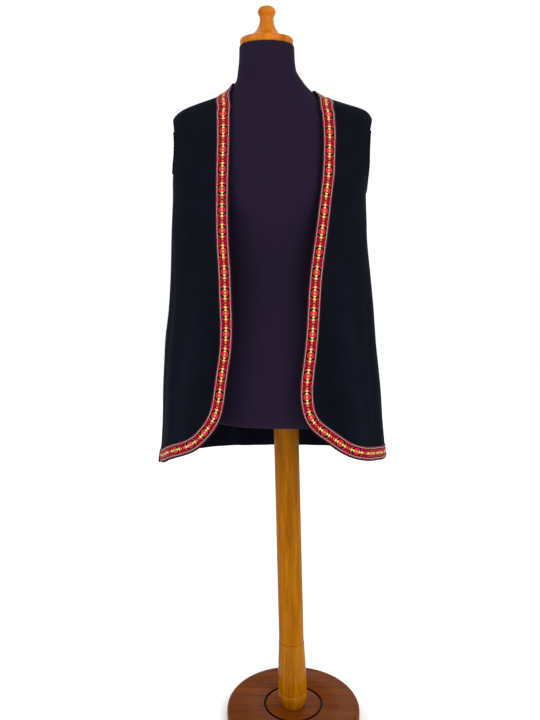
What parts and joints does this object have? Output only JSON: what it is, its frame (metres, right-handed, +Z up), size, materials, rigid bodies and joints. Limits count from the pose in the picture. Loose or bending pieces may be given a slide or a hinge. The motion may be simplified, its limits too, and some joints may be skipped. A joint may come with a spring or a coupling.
{
  "type": "sleeveless folk vest on a limbless dress form",
  "caption": "Long sleeveless black wool vest, open in front, with woven red ribbon along its edges, hung on a padded dress form with a wooden neck cap, pole and round base.",
  "frame": {"origin": "centre of the round base's underside, on the floor", "axes": "+Z up, the vest's open front faces -Y"},
  "size_m": [0.4461, 0.3087, 1.386],
  "materials": {
    "wool": "near-black felted wool cloth, matt",
    "ribbon": "woven jacquard ribbon, red and gold on black",
    "jersey": "dark navy jersey stretched over a padded form",
    "cap_wood": "orange-brown wood, gloss varnish",
    "pole_wood": "ochre wood, satin varnish",
    "base_wood": "brown wood, satin varnish"
  },
  "bodies": {
    "root": {"vest_front_left": "wool", "vest_front_right": "wool", "vest_back": "wool", "trim_front_left": "ribbon", "trim_front_right": "ribbon", "trim_back_neck": "ribbon", "trim_back_hem": "ribbon", "form_torso": "jersey", "form_neck_cap": "cap_wood", "stand_pole": "pole_wood", "stand_sleeve": "pole_wood", "stand_base": "base_wood"}
  },
  "joints": []
}
